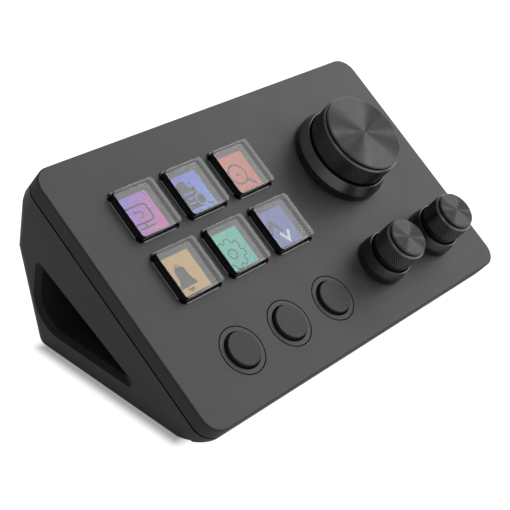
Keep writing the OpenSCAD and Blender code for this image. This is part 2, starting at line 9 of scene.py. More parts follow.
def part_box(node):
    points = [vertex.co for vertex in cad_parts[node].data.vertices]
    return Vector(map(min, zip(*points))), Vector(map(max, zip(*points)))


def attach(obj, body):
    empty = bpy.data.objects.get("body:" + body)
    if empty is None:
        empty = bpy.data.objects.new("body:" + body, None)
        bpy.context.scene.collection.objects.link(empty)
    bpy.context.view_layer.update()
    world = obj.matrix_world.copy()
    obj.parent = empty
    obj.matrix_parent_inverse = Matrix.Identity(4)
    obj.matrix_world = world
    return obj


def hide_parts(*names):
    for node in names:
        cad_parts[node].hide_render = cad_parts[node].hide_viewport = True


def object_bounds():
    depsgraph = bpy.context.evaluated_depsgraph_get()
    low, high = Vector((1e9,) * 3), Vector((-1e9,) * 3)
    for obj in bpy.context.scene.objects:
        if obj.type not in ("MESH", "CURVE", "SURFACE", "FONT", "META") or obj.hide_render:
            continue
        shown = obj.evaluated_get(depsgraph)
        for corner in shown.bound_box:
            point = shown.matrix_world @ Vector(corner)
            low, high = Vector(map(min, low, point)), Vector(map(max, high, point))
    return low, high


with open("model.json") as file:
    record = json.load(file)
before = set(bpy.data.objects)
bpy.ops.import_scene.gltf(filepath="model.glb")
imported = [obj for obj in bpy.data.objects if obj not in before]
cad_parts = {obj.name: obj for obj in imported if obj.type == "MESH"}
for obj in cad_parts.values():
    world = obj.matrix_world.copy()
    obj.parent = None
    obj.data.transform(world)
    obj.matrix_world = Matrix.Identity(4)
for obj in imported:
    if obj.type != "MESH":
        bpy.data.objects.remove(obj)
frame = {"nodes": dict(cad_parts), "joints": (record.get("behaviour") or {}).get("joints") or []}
cad_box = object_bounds()

# Looks of the macro keypad: materials for the CAD nodes, clear key caps with their lit pictures,
# crossed knurls on the grips, painted shadows in the seams round the buttons, and the stage.

# ---------------------------------------------------------------- the panel's frame
MM = 0.001
JOINTS = {joint["name"]: joint for joint in frame["joints"]}
NORMAL = -Vector(JOINTS["dial_turn"]["axis"])
TILT = math.atan2(-NORMAL.y, NORMAL.z)
SLOPE = Matrix.Rotation(TILT, 4, "X")

# ---------------------------------------------------------------- sizes, in millimetres
KEY_SIZE = 14.6
KEY_CORNER = 1.1
KEY_PROUD = 2.35  # from the panel's face to the cap's top
CAP_THICK = 2.45
CAP_BEVEL, CAP_BEVEL_STEPS = 0.14, 2
LINING_GAP, LINING_FOOT = 0.02, 0.14
PANEL_LEVEL = CAP_THICK / 2 - KEY_PROUD  # the panel's face, seen from the middle of a cap

SCREEN_DROP = 3.75  # from the cap's top to the underside of the picture
PICTURE_LOW, PICTURE_HIGH = (-6.1, -6.1), (4.9, 5.35)
PICTURE_THICK = 0.04
PICTURE_DOT = 0.32
GLYPH_THICK = 0.03

BEZEL_OUT, BEZEL_IN = 0.68, 0.27
BEZEL_FALL, BEZEL_THICK = 0.12, 0.9
BEZEL_END = 0.3

BUTTON_DROP = 35.4  # from the dial's axis down the slope to the row of buttons
BUTTONS = (1, 2, 3)
RING_RADIUS = 6.85
SEAM_WIDTH, SEAM_HIGH = 0.3, 0.02

KNURL_PITCH = 0.75
KNURL_HELIX = math.radians(35)
KNURL_DEPTH = 0.2
KNURL_LEAD = 0.15  # from the smooth foot to the first row of the knurl
# Heights on a grip are from the panel's face.
GRIP_FOOT = 2.8
GRIP_TOP = 12.9
GRIP_BORE, BORE_DEPTH = 3.9, 2.0
GRIP_CHAMFER = 0.2
GRIP_BEVEL = 0.5
RIM_IN, RIM_UP = 0.12, 0.06
NECK_TOP = 13.35
DIAL = {"radius": 13.2, "neck": 12.2, "knurl_from": 6.5}
KNOB = {"radius": 6.5, "neck": 5.35, "knurl_from": 7.1}
KNOBS = {"dial": DIAL, "left_knob": KNOB, "right_knob": KNOB}

# Edges that turn by more than this many degrees stay sharp.
CAP_SMOOTH, GRIP_SMOOTH = 20, 28


def knob_place(name):
    """Frame of a knob: origin on the panel face, Z out of the panel."""
    return Matrix.Translation(Vector(JOINTS[name + "_turn"]["pos_m"])) @ SLOPE


def node_place(node):
    """Frame at the middle of a node's box, turned with the panel."""
    low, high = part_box(node)
    return Matrix.Translation((low + high) / 2) @ SLOPE


# ---------------------------------------------------------------- materials
BLACK, WHITE = (0, 0, 0, 1), (1, 1, 1, 1)
ANODISED = (0.085, 0.085, 0.087)
NOISE_LOW, NOISE_HIGH = 0.3, 0.7  # most of a noise texture's values lie between these
AWAY_DOT, FACING_DOT = 0.6, 0.97  # cosines of the angle between a face and the panel
SKIRT_DULL = 0.35  # roughness added where a face turns away from the panel
# Strength of the painted glow on the caps' inner walls, which stands in for light coming through the
# clear block.
LINING_PAINTED_GLOW = 0.11
PICTURE_GLOW = 0.72
PICTURE_FADE = 1.6  # half-widths of the picture from its middle to each end of the gradient
DOT_SHADE = 0.06


class Nodes:
    """A material's node tree with short calls to add and link nodes."""

    def __init__(self, name):
        self.material = bpy.data.materials.new(name)
        self.material.use_nodes = True
        self.tree = self.material.node_tree
        self.shader = self.tree.nodes["Principled BSDF"]

    def add(self, kind, values=None, **settings):
        node = self.tree.nodes.new("ShaderNode" + kind)
        for key, value in settings.items():
            setattr(node, key, value)
        for key, value in (values or {}).items():
            self.feed(node.inputs[key], value)
        return node

    def feed(self, socket, value):
        """Link another node's output into the socket, or set it to a constant."""
        if isinstance(value, bpy.types.NodeSocket):
            self.tree.links.new(value, socket)
        else:
            socket.default_value = value

    def set(self, **values):
        """Feed the shader; an underscore stands for a space in a socket's name."""
        for key, value in values.items():
            self.feed(self.shader.inputs[key.replace("_", " ")], value)

    def math(self, operation, a, b=0.0):
        node = self.add("Math", operation=operation)
        self.feed(node.inputs[0], a)
        self.feed(node.inputs[1], b)
        return node.outputs[0]

    def vector(self, operation, a, b=None):
        """Vector maths: a number from a dot product or a length, otherwise a vector."""
        node = self.add("VectorMath", operation=operation)
        self.feed(node.inputs[0], a)
        if b is not None:
            self.feed(node.inputs["Scale" if operation == "SCALE" else 1], b)
        return node.outputs["Value" if operation in ("DOT_PRODUCT", "LENGTH") else "Vector"]

    def mix(self, factor, a, b):
        """Colour a where the factor is 0 and b where it is 1."""
        node = self.add("Mix", data_type="RGBA")
        # A Mix node's colours are its inputs 6 and 7, and its mixed colour is output 2.
        for index, value in ((0, factor), (6, a), (7, b)):
            self.feed(node.inputs[index], value)
        return node.outputs[2]

    def ramp(self, value, start, end, low=0.0, high=1.0, **settings):
        """Low where the value is start, high where it is end."""
        return self.add("MapRange", {"Value": value, "From Min": start, "From Max": end,
                                     "To Min": low, "To Max": high}, **settings).outputs[0]

    def place(self):
        return self.add("TexCoord").outputs["Object"]

    def offset(self, place):
        """Way from the origin of the frame place to the shaded point."""
        return self.vector("SUBTRACT", self.place(), tuple(place.translation))

    def noise(self, size, detail=3.0):
        """Noise whose blobs are about size millimetres across."""
        return self.add("TexNoise", {"Vector": self.place(), "Scale": 1 / (size * MM),
                                     "Detail": detail}).outputs[0]

    def spread(self, noise, low, high):
        """Noise stretched from the range where most of it lies to low and high."""
        return self.ramp(noise, NOISE_LOW, NOISE_HIGH, low, high)

    def around(self, noise, middle, below, above):
        """A value that the noise moves from below the middle to above it."""
        return self.spread(noise, middle - below, middle + above)

    def tinted(self, factor, colour, dark, light):
        """The colour times dark where the factor is 0 and times light where it is 1."""
        return self.mix(factor, shade(colour, dark), shade(colour, light))

    def facing(self):
        """1 on faces that look along the panel's normal, 0 on those that turn away."""
        normal = self.add("TexCoord").outputs["Normal"]
        return self.ramp(self.vector("DOT_PRODUCT", normal, tuple(NORMAL)), AWAY_DOT, FACING_DOT)

    def bump(self, height, depth):
        """Bump of depth millimetres."""
        return self.add("Bump", {"Height": height, "Distance": depth * MM}).outputs[0]


def shade(colour, factor):
    return tuple(c * factor for c in colour) + (1.0,)


def moulded(name, colour, rough, grain=0.18, grain_depth=0.012, specular=0.5, painted_skirt_shade=None):
    """Moulded or painted plastic: fine spark-eroded grain, soft patches of colour and gloss.

    Given a share, faces that turn away from the panel keep that share of the colour, a painted shade on
    the sides, and are duller.
    """
    nodes = Nodes(name)
    patches = nodes.noise(size=9.0)
    fine = nodes.noise(grain, detail=2.0)
    tint = nodes.tinted(nodes.spread(patches, 0.0, 1.0), colour, dark=0.9, light=1.1)
    tone = nodes.mix(nodes.spread(fine, 0.0, 0.35), tint, shade(colour, 1.5))
    gloss = nodes.around(patches, rough, below=0.03, above=0.03)
    if painted_skirt_shade is not None:
        facing = nodes.facing()
        away = nodes.math("SUBTRACT", 1.0, facing)
        # Painted shade: the colour falls off on faces that turn away from the panel.
        tone = nodes.mix(facing, nodes.mix(painted_skirt_shade, BLACK, tone), tone)
        gloss = nodes.math("ADD", gloss, nodes.math("MULTIPLY", away, SKIRT_DULL))
    nodes.set(Base_Color=tone, Roughness=gloss, Normal=nodes.bump(fine, grain_depth),
              Specular_IOR_Level=specular)
    return nodes.material


def metal(name, colour, rough, grain=0.4):
    """Bare or plated metal with faint tool marks."""
    nodes = Nodes(name)
    marks = nodes.noise(grain, detail=4.0)
    tint = nodes.tinted(nodes.spread(marks, 0.0, 1.0), colour, dark=0.85, light=1.12)
    gloss = nodes.around(marks, rough, below=0.05, above=0.07)
    nodes.set(Base_Color=tint, Metallic=1.0, Roughness=gloss, Normal=nodes.bump(marks, depth=0.004))
    return nodes.material


def turned(name, place, colour, rough, ring=0.12):
    """Anodised metal turned on a lathe: rings round the axis of place, gloss stretched across them."""
    nodes = Nodes(name)
    arm = nodes.offset(place)
    lift = nodes.vector("SCALE", tuple(NORMAL), nodes.vector("DOT_PRODUCT", arm, tuple(NORMAL)))
    flat = nodes.vector("SUBTRACT", arm, lift)
    outward = nodes.add("VectorTransform", {"Vector": flat}, vector_type="VECTOR",
                        convert_from="OBJECT", convert_to="WORLD").outputs[0]
    reach = nodes.math("MULTIPLY", nodes.vector("LENGTH", flat), 1 / (ring * MM))
    rings = nodes.add("TexNoise", {"W": reach, "Scale": 1.0, "Detail": 2.0},
                      noise_dimensions="1D").outputs[0]
    patches = nodes.noise(size=2.5)
    tint = nodes.tinted(nodes.spread(rings, 0.0, 1.0), colour, dark=0.85, light=1.15)
    gloss = nodes.around(patches, rough, below=0.02, above=0.02)
    nodes.set(Base_Color=tint, Metallic=1.0, Roughness=gloss, Normal=nodes.bump(rings, depth=0.003),
              Tangent=outward, Anisotropic=1.0)
    return nodes.material


def clear_plastic():
    """Clear acrylic of the key caps."""
    nodes = Nodes("clear_acrylic")
    film = nodes.mix(nodes.noise(size=3.0), (0.95, 0.96, 0.96, 1), WHITE)
    nodes.set(Base_Color=film, Roughness=0.0, Transmission_Weight=1.0, IOR=1.46)
    return nodes.material


def cap_lining_painted_light():
    """Inner side of a cap's walls, with a painted glow for the lamp light that reaches it through the
    clear block, and for a little of the screen's light.
    """
    nodes = Nodes("cap_lining_painted_light")
    glow = nodes.mix(nodes.noise(size=1.5), (0.85, 0.87, 0.9, 1), WHITE)
    nodes.set(Base_Color=(0.02, 0.02, 0.02, 1), Roughness=0.6, Specular_IOR_Level=0.0,
              Emission_Color=glow, Emission_Strength=LINING_PAINTED_GLOW)
    return nodes.material


def gloss_black(name, colour=(0.006, 0.006, 0.007), rough=0.07, specular=0.5):
    """Polished dark plastic or glass."""
    nodes = Nodes(name)
    film = nodes.noise(size=4.0)
    nodes.set(Base_Color=nodes.tinted(film, colour, dark=0.7, light=1.4),
              Roughness=nodes.around(film, rough, below=0.02, above=0.05),
              Normal=nodes.bump(nodes.noise(size=1.2), depth=0.001), Specular_IOR_Level=specular)
    return nodes.material


def lit_picture(name, left, right, place):
    """Lit colour screen: a gradient across the key and faint columns of picture dots."""
    nodes = Nodes(name)
    across = nodes.add("SeparateXYZ", {"Vector": nodes.offset(place)})
    reach = PICTURE_FADE * (PICTURE_HIGH[0] - PICTURE_LOW[0]) * MM / 2
    run = nodes.ramp(nodes.math("SUBTRACT", across.outputs["X"], across.outputs["Y"]), -reach, reach)
    dots = nodes.add("TexWave", {"Vector": nodes.place(), "Scale": 1 / (PICTURE_DOT * MM)},
                     wave_type="BANDS", bands_direction="X").outputs[1]
    glow = nodes.mix(run, left + (1.0,), right + (1.0,))
    glow = nodes.mix(nodes.math("MULTIPLY", dots, DOT_SHADE), glow, BLACK)
    nodes.set(Base_Color=(0.01, 0.01, 0.01, 1), Roughness=0.25, Specular_IOR_Level=0.0,
              Emission_Color=glow, Emission_Strength=PICTURE_GLOW)
    return nodes.material


def circuit_board():
    """Green solder mask over a woven board."""
    nodes = Nodes("circuit_board")
    weave = nodes.noise(size=0.5)
    green = nodes.mix(nodes.spread(weave, 0.0, 1.0), (0.006, 0.035, 0.016, 1), (0.012, 0.06, 0.03, 1))
    gloss = nodes.spread(weave, 0.3, 0.45)
    nodes.set(Base_Color=green, Roughness=gloss, Normal=nodes.bump(weave, depth=0.01))
    return nodes.material


# ---------------------------------------------------------------- mesh helpers
MITRE_LIMIT = 0.5


def in_scene(name, data):
    obj = bpy.data.objects.new(name, data)
    bpy.context.scene.collection.objects.link(obj)
    return obj


def piece(name, verts, faces, place, body, slot, materials, marks=None, smooth_above=None):
    """A new piece from points in millimetres in the frame place; marks gives each face's material."""
    mesh = bpy.data.meshes.new(name)
    mesh.from_pydata([Vector(v) * MM for v in verts], [], faces)
    mesh.update()
    for material in materials:
        mesh.materials.append(material)
    if marks:
        mesh.polygons.foreach_set("material_index", marks)
    bm = bmesh.new()
    bm.from_mesh(mesh)
    bmesh.ops.recalc_face_normals(bm, faces=bm.faces)
    bm.to_mesh(mesh)
    bm.free()
    mesh.transform(place)
    obj = in_scene(name, mesh)
    if smooth_above is not None:
        mesh.polygons.foreach_set("use_smooth", [True] * len(mesh.polygons))
        mesh.set_sharp_from_angle(angle=math.radians(smooth_above))
    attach(obj, body)
    return obj


def polar(x, y, radius, degrees):
    a = math.radians(degrees)
    return x + radius * math.cos(a), y + radius * math.sin(a)


def arc(x, y, radius, start, end, steps=32):
    return [polar(x, y, radius, start + (end - start) * k / steps) for k in range(steps + 1)]


def circle(x, y, radius, steps=40):
    return arc(x, y, radius, 0, 360, steps)[:-1]


def rounded_square(size, radius, steps=6):
    """Outline of a square with round corners, counter-clockwise."""
    inner = size / 2 - radius
    corners = ((1, 1, 0), (-1, 1, 90), (-1, -1, 180), (1, -1, 270))
    return [point for x, y, start in corners
            for point in arc(x * inner, y * inner, radius, start, start + 90, steps)]


def strip(a, b, count):
    """Faces between two rings of count points that start at the indices a and b."""
    return [(a + i, a + (i + 1) % count, b + (i + 1) % count, b + i) for i in range(count)]


def sides(rings):
    """Points of the rings and the faces from each ring to the next."""
    count = len(rings[0])
    verts = [p for ring in rings for p in ring]
    faces = [face for k in range(len(rings) - 1) for face in strip(k * count, (k + 1) * count, count)]
    return verts, faces


def stacked(rings):
    """Closed solid through rings of points: sides between them and a face on each end."""
    verts, faces = sides(rings)
    count = len(rings[0])
    bottom = tuple(reversed(range(count)))
    top = tuple(range(len(verts) - count, len(verts)))
    return verts, [bottom] + faces + [top]


def levels(outline, *heights):
    """The outline repeated at each height."""
    return [[(x, y, z) for x, y in outline] for z in heights]


def slab(outline, low, high):
    return stacked(levels(outline, low, high))


def ribbon(points, width, closed):
    """Lines to the left and right of a path, half a width away from it."""
    count = len(points)
    left, right = [], []
    for i, p in enumerate(points):
        before = points[(i - 1) % count] if closed or i > 0 else None
        after = points[(i + 1) % count] if closed or i < count - 1 else None
        ways = [(Vector(b) - Vector(a)).normalized() for a, b in ((before, p), (p, after))
                if a is not None and b is not None]
        normals = [Vector((-w.y, w.x)) for w in ways]
        middle = sum(normals, Vector((0, 0))).normalized()
        reach = width / 2 / max(middle.dot(normals[0]), MITRE_LIMIT)
        left.append(tuple(Vector(p) + middle * reach))
        right.append(tuple(Vector(p) - middle * reach))
    return left, right


def stroke(points, width, closed, low, high):
    """A flat bar of that width along a path, or round it when it is closed."""
    left, right = ribbon(points, width, closed)
    if not closed:
        return slab(right + left[::-1], low, high)
    count = len(points)
    rings = levels(left, low) + levels(right, low, high) + levels(left, high)
    verts, faces = sides(rings)
    return verts, faces + strip(len(verts) - count, 0, count)


def joined(parts):
    verts, faces = [], []
    for part_verts, part_faces in parts:
        faces += [tuple(i + len(verts) for i in face) for face in part_faces]
        verts += part_verts
    return verts, faces


# ---------------------------------------------------------------- key pictures
# Each sign gives the meshes of its dark, lit and white parts, drawn in millimetres from the
# middle of the key.
def monitor_glyph(low, high):
    """Monitor on its stand with a return arrow."""
    screen = [(x * 1.54 - 1.87, y - 0.38) for x, y in rounded_square(5.1, 0.9)]
    hook = [(-2.6, 0.45), (-1.3, 0.45)]
    hook += arc(-1.3, -0.45, 0.9, 75, -75, steps=14)
    hook += [(-1.3, -1.35), (-2.1, -1.35)]
    arrow = [(-3.3, 0.45), (-2.4, -0.05), (-2.4, 0.95)]
    return {"dark": joined([
        stroke(screen, 0.55, True, low, high),
        stroke([(-1.8, -2.9), (-1.8, -4.3)], 0.6, False, low, high),
        stroke([(-4.4, -4.35), (1.2, -4.35)], 0.5, False, low, high),
        stroke(hook, 0.36, False, low, high),
        slab(arrow, low, high)])}


def page_glyph(low, high):
    """Page with a round badge, three lines and a magnifier."""
    page = [(0.2, -5.1), (-5.6, -5.1), (-5.6, 2.1), (-3.6, 3.45), (-1.4, 3.45), (1.0, 1.3), (1.0, -0.9)]
    badge, lens = (0.05, 2.2), (0.75, -3.05)
    text = ((-3.9, -0.1, -0.45), (-3.8, -1.7, -1.95), (-3.9, -1.5, -3.4))
    middle = high + GLYPH_THICK
    top = middle + GLYPH_THICK
    dark = joined([
        slab(page, low, high),
        slab(circle(*lens, 1.45), middle, top),
        slab(circle(*badge, 0.36), middle, top),
        stroke([(2.1, -4.5), (3.6, -5.7)], 0.5, False, low, high)])
    lit = [slab(circle(*badge, 1.3), high, middle), slab(circle(*lens, 1.9), high, middle)]
    lit += [stroke([(start, y), (end, y)], 0.45, False, high, middle) for start, end, y in text]
    return {"dark": dark, "lit": joined(lit)}


def magnifier_glyph(low, high):
    """Magnifier with a dot in its lens."""
    return {"dark": joined([
        stroke(circle(-1.4, -0.95, 3.05), 0.58, True, low, high),
        slab(circle(-1.45, -0.95, 0.45), low, high),
        stroke([(0.95, -3.3), (3.1, -5.35)], 0.85, False, low, high)])}


def bell_glyph(low, high):
    """Bell with its loop and clapper."""
    middle = -1.6
    side = [(2.75, -4.05), (3.05, -3.7), (2.9, -3.1), (2.25, -2.4), (2.0, -1.4), (1.85, 0.1)]
    side += arc(0.95, 0.85, 0.85, -5, 90, steps=8)
    bell = [(middle + x, y) for x, y in side] + [(middle - x, y) for x, y in reversed(side)]
    loop = arc(middle - 0.1, 1.9, 0.6, -20, 200, steps=12)
    clapper = [(-0.7, -5.3), (-0.05, -5.6), (0.6, -5.3), (1.15, -4.6), (-1.25, -4.6)]
    return {"dark": joined([
        slab(bell, low, high),
        stroke(loop, 0.32, False, low, high),
        slab([(middle + x, y) for x, y in clapper], low, high)])}


def gear_glyph(low, high):
    """Outline of a cog with round-shouldered teeth and its bore."""
    teeth, root, tip, turn = 8, 3.6, 4.6, -10
    middle = (-1.8, -1.5)
    half_tooth = ((8.5, tip), (12.5, tip - 0.3), (13.5, root + 0.35), (17, root))
    tooth = [(-angle, radius) for angle, radius in reversed(half_tooth)] + list(half_tooth)
    outline = [polar(*middle, radius, 360 * k / teeth + turn + angle)
               for k in range(teeth) for angle, radius in tooth]
    return {"dark": joined([
        stroke(outline, 0.34, True, low, high),
        stroke(circle(*middle, 1.4), 0.42, True, low, high)])}


def chevron_glyph(low, high):
    """Dark chevron that points up and a white one that points down."""
    return {
        "dark": stroke([(-4.3, -1.6), (-2.4, 1.9), (-0.1, -1.9)], 1.15, False, low, high),
        "white": stroke([(-1.6, -2.1), (0.15, -4.9), (1.9, -2.1)], 0.95, False, low, high)}


PICTURES = {
    1: ((0.19, 0.10, 0.58), (0.62, 0.09, 0.34), monitor_glyph),
    2: ((0.10, 0.09, 0.62), (0.10, 0.26, 0.62), page_glyph),
    3: ((0.56, 0.12, 0.07), (0.50, 0.10, 0.06), magnifier_glyph),
    4: ((0.50, 0.30, 0.07), (0.52, 0.33, 0.10), bell_glyph),
    5: ((0.03, 0.46, 0.32), (0.04, 0.38, 0.36), gear_glyph),
    6: ((0.07, 0.10, 0.38), (0.05, 0.09, 0.34), chevron_glyph)}
PICTURE_WHITE = (0.62, 0.62, 0.66)
GLYPH_NAMES = {"dark": "glyph", "lit": "glyph_light", "white": "glyph_white"}


# ---------------------------------------------------------------- keys
CLEAR, SIDE = 0, 1


def dress_cap(number, place, clear, side, lining):
    """Clear block with dark sides and a small round on its top edge, and the lining of its walls."""
    cap, body = f"key_cap_{number}", f"key_{number}"
    half = CAP_THICK / 2
    outline = rounded_square(KEY_SIZE, KEY_CORNER)
    rings = levels(outline, -half)
    for k in range(CAP_BEVEL_STEPS + 1):
        a = math.pi / 2 * k / CAP_BEVEL_STEPS
        inset = CAP_BEVEL * (1 - math.cos(a))
        rings += levels(rounded_square(KEY_SIZE - 2 * inset, KEY_CORNER - inset),
                        half - CAP_BEVEL * (1 - math.sin(a)))
    marks = [CLEAR] + [SIDE] * len(outline) + [CLEAR] * (len(outline) * CAP_BEVEL_STEPS + 1)
    block = piece(f"key_{number}_clear_block", *stacked(rings), place, body, "clear_cap",
                  [clear, side], marks, CAP_SMOOTH)
    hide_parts(cap)

    inner = rounded_square(KEY_SIZE - 2 * LINING_GAP, KEY_CORNER - LINING_GAP)
    wall = sides(levels(inner, LINING_FOOT - half, half - CAP_BEVEL))
    piece(f"key_{number}_lining", *wall, place, body, "clear_cap", [lining], None, CAP_SMOOTH)


def dress_screen(number, place, dark):
    """Lit picture on the screen under a cap, with its sign."""
    body, slot = f"key_{number}", f"screen_{number}"
    left, right, glyph = PICTURES[number]
    looks = {"dark": dark, "lit": lit_picture(f"picture_{number}", left, right, place)}
    base = CAP_THICK / 2 - SCREEN_DROP
    top = base + PICTURE_THICK
    (x0, y0), (x1, y1) = PICTURE_LOW, PICTURE_HIGH
    area = slab([(x0, y0), (x1, y0), (x1, y1), (x0, y1)], base, top)
    piece(f"key_{number}_picture", *area, place, body, slot, [looks["lit"]])
    drawn = glyph(top, top + GLYPH_THICK)
    if "white" in drawn:
        looks["white"] = lit_picture("picture_white", PICTURE_WHITE, PICTURE_WHITE, place)
    for kind, mesh in drawn.items():
        piece(f"key_{number}_{GLYPH_NAMES[kind]}", *mesh, place, body, slot, [looks[kind]])


def dress_bezel(number, place, material):
    """Four sloped strips of the key frame, one along each side of the key."""
    near, out = KEY_SIZE / 2 + BEZEL_IN, KEY_SIZE / 2 + BEZEL_OUT
    half = KEY_SIZE / 2 - KEY_CORNER - BEZEL_END
    section = [(near, -BEZEL_THICK), (out, -BEZEL_THICK), (out, 0.0), (near, -BEZEL_FALL)]
    strips = []
    for quarter in range(4):
        turn = Matrix.Rotation(math.pi / 2 * quarter, 3, "Z")
        strips.append(stacked([[tuple(turn @ Vector((x, y, z))) for x, z in section]
                               for y in (-half, half)]))
    panel = place @ Matrix.Translation(Vector((0, 0, PANEL_LEVEL)) * MM)
    piece(f"key_bezel_{number}", *joined(strips), panel, "body", "frame_plastic", [material])


def dress_keys():
    clear = clear_plastic()
    side = gloss_black("cap_side", (0.004, 0.004, 0.005), 0.06)
    lining = cap_lining_painted_light()
    dark = gloss_black("glyph_dark", (0.01, 0.01, 0.012), 0.2, specular=0.0)
    # The bezel strips are light grey: painted light for the lamp light that passes through the clear
    # caps onto the frame at their foot.
    bezel = moulded("bezel_painted_light", (0.28, 0.28, 0.28), 0.5)
    for number in PICTURES:
        place = node_place(f"key_cap_{number}")
        dress_cap(number, place, clear, side, lining)
        dress_screen(number, place, dark)
        dress_bezel(number, place, bezel)


# ---------------------------------------------------------------- buttons
def dress_button_seam(number, material):
    """Painted shadow of the seam between a button's ring and the panel: a black ring a hair above the
    paint.
    """
    low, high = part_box(f"button_{number}")
    dial = knob_place("dial")
    across = (low.x + high.x) / 2 - dial.translation.x
    place = dial @ Matrix.Translation((across, -BUTTON_DROP * MM, 0))
    seam = stroke(circle(0, 0, RING_RADIUS, steps=96), SEAM_WIDTH, True, -SEAM_HIGH, SEAM_HIGH)
    piece(f"button_seam_{number}", *seam, place, "body", "ring_plastic", [material])


def dress_seams():
    material = moulded("seam_shadow", (0.002, 0.002, 0.002), 0.9, specular=0.0)
    for number in BUTTONS:
        dress_button_seam(number, material)


# ---------------------------------------------------------------- knurled grips
KNURL, RIM, GROOVE = 0, 1, 2


def knurl_faces(a, b, row, count):
    """Triangles between two rings of the knurl, cut from one sunk point to the next."""
    faces = []
    for i in range(count):
        j = (i + 1) % count
        if (row + i) % 2 == 0:
            faces += [(a + i, a + j, b + j), (a + i, b + j, b + i)]
        else:
            faces += [(a + i, a + j, b + i), (a + j, b + j, b + i)]
    return faces


def grip_mesh(size):
    """Rings of a knurled grip from its bore up over the crossed knurl to its neck."""
    radius, knurl_from, knurl_to = size["radius"], size["knurl_from"], GRIP_TOP - GRIP_BEVEL
    teeth = round(2 * math.pi * radius / KNURL_PITCH)
    columns = 2 * teeth
    tooth_height = math.pi * radius / teeth / math.tan(KNURL_HELIX)
    rows = max(2, round((knurl_to - knurl_from) / tooth_height))
    step = (knurl_to - knurl_from) / rows

    def ring(r, z, row=None):
        """Points round the axis; in a row of the knurl every second one is sunk."""
        points = []
        for i in range(columns):
            a = 2 * math.pi * i / columns
            deep = 0 if row is None or (row + i) % 2 else KNURL_DEPTH
            points.append(((r - deep) * math.cos(a), (r - deep) * math.sin(a), z))
        return points

    smooth = radius - KNURL_DEPTH
    rings = [ring(GRIP_BORE, GRIP_FOOT + BORE_DEPTH), ring(GRIP_BORE, GRIP_FOOT),
             ring(smooth - GRIP_CHAMFER, GRIP_FOOT), ring(smooth, GRIP_FOOT + GRIP_CHAMFER),
             ring(smooth, knurl_from - KNURL_LEAD)]
    first = len(rings)
    rings += [ring(radius, knurl_from + k * step, k) for k in range(rows + 1)]
    last = len(rings) - 1
    rings += [ring(radius - RIM_IN, knurl_to + RIM_UP), ring(radius - GRIP_BEVEL, GRIP_TOP)]
    neck = len(rings) - 1
    rings += [ring(size["neck"], GRIP_TOP), ring(size["neck"], NECK_TOP)]

    verts = [p for r in rings for p in r]
    faces, marks = [], []
    for k in range(len(rings) - 1):
        a, b = k * columns, (k + 1) * columns
        crossed = first <= k < last
        new = knurl_faces(a, b, k - first, columns) if crossed else strip(a, b, columns)
        faces += new
        marks += [GROOVE if k >= neck else RIM if k >= last else KNURL] * len(new)
    faces += [tuple(reversed(range(columns))), tuple(range(len(verts) - columns, len(verts)))]
    marks += [KNURL, GROOVE]
    return verts, faces, marks


def dress_grip(name, size, materials):
    verts, faces, marks = grip_mesh(size)
    grip = piece(f"{name}_knurled_grip", verts, faces, knob_place(name), name, "grip_metal",
                 materials, marks, GRIP_SMOOTH)
    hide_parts(f"{name}_grip")


def dress_grips():
    looks = {
        KNURL: metal("grip_anodised", (0.045, 0.045, 0.047), 0.36, grain=0.2),
        RIM: metal("grip_rim", (0.12, 0.12, 0.122), 0.3, grain=0.2),
        GROOVE: moulded("groove_black", (0.006, 0.006, 0.006), 0.6)}
    materials = [looks[mark] for mark in sorted(looks)]
    for name, size in KNOBS.items():
        dress_grip(name, size, materials)


# ---------------------------------------------------------------- the CAD nodes
def finish_node(node, material):
    obj = frame["nodes"][node]
    obj.data.materials.clear()
    obj.data.materials.append(material)


def dress_nodes():
    board = circuit_board()
    collar = metal("collar_metal", ANODISED, 0.36, grain=0.15)
    looks = {
        "front_cover": moulded("cover_paint", (0.0198, 0.02, 0.0203), 0.47, specular=0.40, painted_skirt_shade=0.22),
        "rear_housing": moulded("housing_plastic", (0.0105, 0.0106, 0.0108), 0.58, grain=0.3,
                                grain_depth=0.02, specular=0.22),
        "rubber_feet": moulded("foot_rubber", (0.012, 0.012, 0.012), 0.75, grain=0.25,
                               grain_depth=0.03, specular=0.3),
        "key_frame": moulded("frame_plastic", (0.03, 0.03, 0.032), 0.35),
        "push_switches": moulded("switch_plastic", (0.03, 0.03, 0.032), 0.4),
        "button_rings": moulded("ring_plastic", (0.0185, 0.0187, 0.019), 0.46, specular=0.42),
        "board_screws": metal("screw_steel", (0.45, 0.45, 0.46), 0.3),
        "encoder_bodies": metal("encoder_zinc", (0.5, 0.5, 0.5), 0.4),
        "encoder_nuts": metal("nut_nickel", (0.55, 0.54, 0.52), 0.3),
        "usb_socket": metal("socket_steel", (0.6, 0.6, 0.61), 0.25),
        "main_board": board,
        "usb_board": board,
        "dial_collar": collar,
        "knob_collars": collar}
    carrier = gloss_black("carrier_plastic")
    screen = gloss_black("screen_glass", rough=0.05, specular=0.0)
    for number in PICTURES:
        looks[f"key_carrier_{number}"] = carrier
        looks[f"key_screen_{number}"] = screen
    button = moulded("button_plastic", (0.010, 0.010, 0.0102), 0.42, grain=0.12, specular=0.3)
    for number in BUTTONS:
        looks[f"button_{number}"] = button
    plunger = moulded("plunger_plastic", (0.55, 0.55, 0.5), 0.45)
    shaft = metal("shaft_steel", (0.5, 0.5, 0.5), 0.3)
    for name in KNOBS:
        looks[f"{name}_plunger"] = plunger
        looks[f"{name}_shaft"] = shaft
        looks[f"{name}_cap"] = turned(f"{name}_disc", knob_place(name), ANODISED, 0.52)
    for node, material in looks.items():
        finish_node(node, material)


